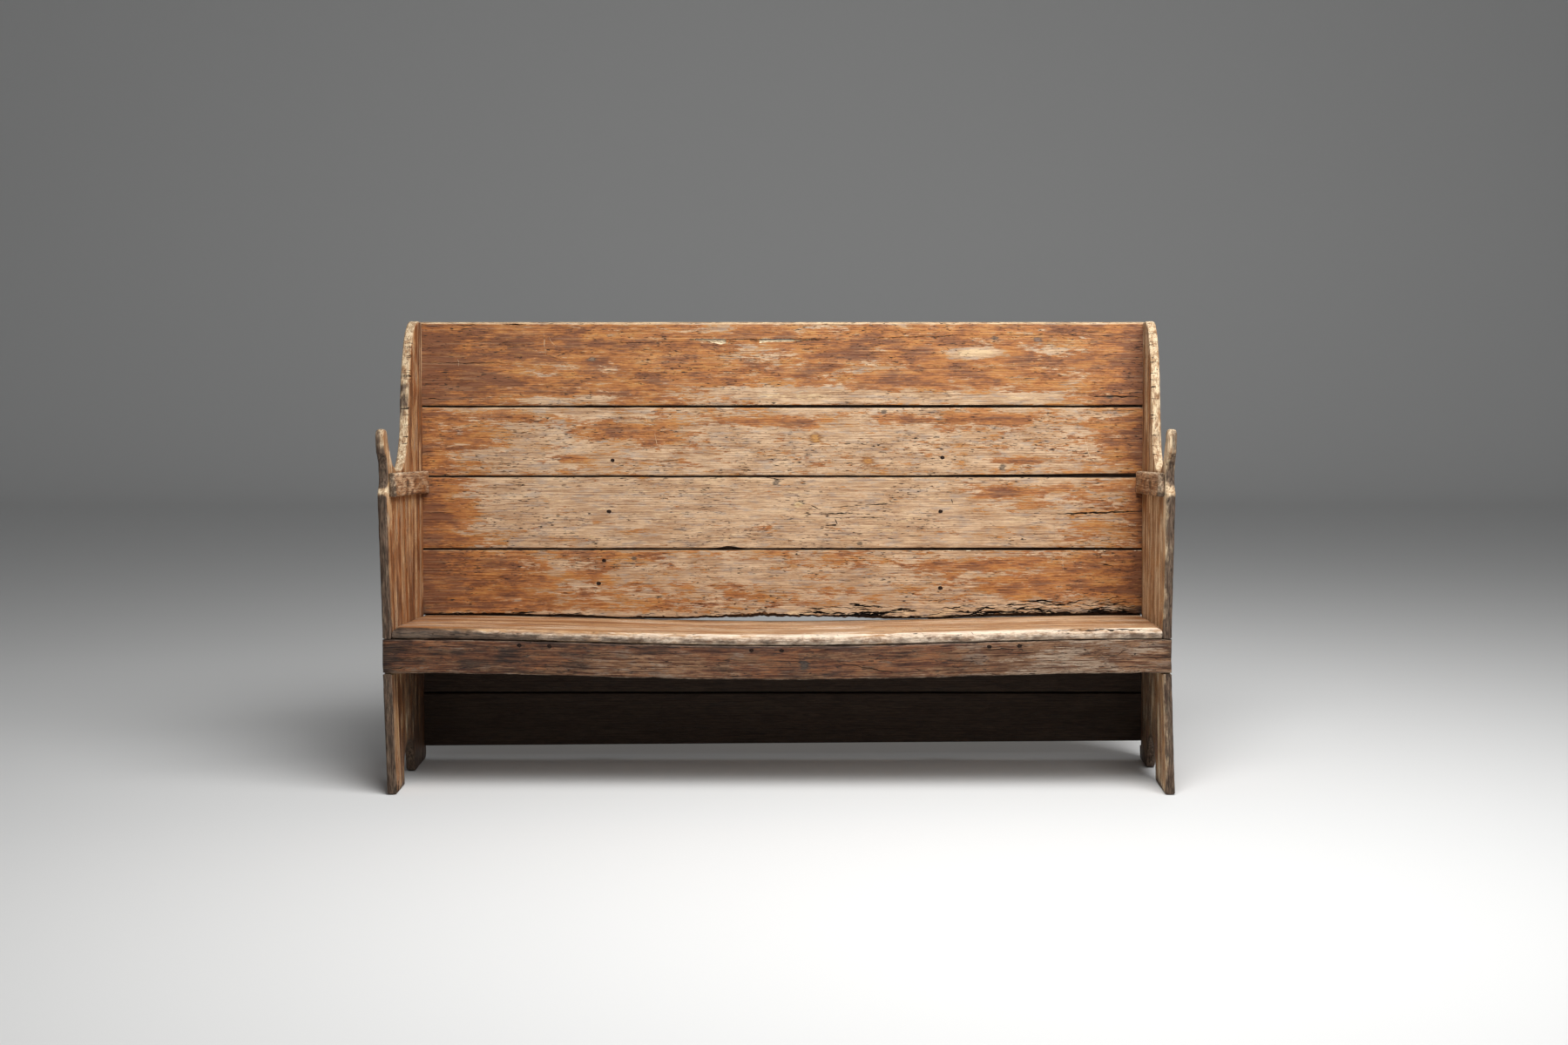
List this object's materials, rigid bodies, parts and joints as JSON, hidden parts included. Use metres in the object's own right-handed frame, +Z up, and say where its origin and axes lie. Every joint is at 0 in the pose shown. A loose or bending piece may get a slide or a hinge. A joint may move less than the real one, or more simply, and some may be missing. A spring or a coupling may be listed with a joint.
{
  "type": "monks bench",
  "caption": "High-backed plank settle with shaped end boards, horned arm notches, a sagging seat, a let-in apron and an open space below.",
  "frame": {"origin": "centre of the bench's outer box, on the floor", "axes": "+X along the bench to the sitter's left, as seen from the front to the right; -Y towards the front; +Z up"},
  "size_m": [2.0254, 0.5436, 1.1905],
  "materials": {
    "pine_end": "worn old varnish with bare edges",
    "pine_rail": "dark worn varnish",
    "pine_seat": "rubbed bare and smooth",
    "pine_apron": "dark, dry and cracked",
    "pine_back": "orange varnish worn through to bare pine",
    "pine_under": "dark and dusty",
    "pine_frame": "rough sawn, unfinished",
    "iron_nail": "rusted wrought iron"
  },
  "bodies": {
    "root": {"left_end_board": "pine_end", "left_arm_rail": "pine_rail", "left_seat_cleat": "pine_frame", "right_end_board": "pine_end", "right_arm_rail": "pine_rail", "right_seat_cleat": "pine_frame", "seat_plank": "pine_seat", "front_apron": "pine_apron", "seat_bearer_left": "pine_frame", "seat_bearer_middle": "pine_frame", "seat_bearer_right": "pine_frame", "back_board_4": "pine_back", "back_board_3": "pine_back", "back_board_2": "pine_back", "back_board_1": "pine_back", "lower_back_board_1": "pine_under", "lower_back_board_2": "pine_under", "left_batten": "pine_frame", "right_batten": "pine_frame", "face_nail_1": "iron_nail", "face_nail_2": "iron_nail", "face_nail_3": "iron_nail", "face_nail_4": "iron_nail", "face_nail_5": "iron_nail", "face_nail_6": "iron_nail", "face_nail_7": "iron_nail", "left_batten_nail_1": "iron_nail", "left_batten_nail_2": "iron_nail", "left_batten_nail_3": "iron_nail", "right_batten_nail_1": "iron_nail", "right_batten_nail_2": "iron_nail", "right_batten_nail_3": "iron_nail", "back_board_4_left_nail": "iron_nail", "back_board_3_left_nail": "iron_nail", "back_board_2_left_nail": "iron_nail", "back_board_1_left_nail": "iron_nail", "lower_back_board_1_left_nail": "iron_nail", "lower_back_board_2_left_nail": "iron_nail", "back_board_4_right_nail": "iron_nail", "back_board_3_right_nail": "iron_nail", "back_board_2_right_nail": "iron_nail", "back_board_1_right_nail": "iron_nail", "lower_back_board_1_right_nail": "iron_nail", "lower_back_board_2_right_nail": "iron_nail", "seat_bearer_left_nail_1": "iron_nail", "seat_bearer_left_nail_2": "iron_nail", "seat_bearer_middle_nail_1": "iron_nail", "seat_bearer_middle_nail_2": "iron_nail", "seat_bearer_right_nail_1": "iron_nail", "seat_bearer_right_nail_2": "iron_nail", "apron_left_nail_1": "iron_nail", "apron_left_nail_2": "iron_nail", "apron_right_nail_1": "iron_nail", "apron_right_nail_2": "iron_nail", "left_rail_nail_1": "iron_nail", "left_rail_nail_2": "iron_nail", "left_cleat_nail": "iron_nail", "right_rail_nail_1": "iron_nail", "right_rail_nail_2": "iron_nail", "right_cleat_nail": "iron_nail"}
  },
  "joints": []
}
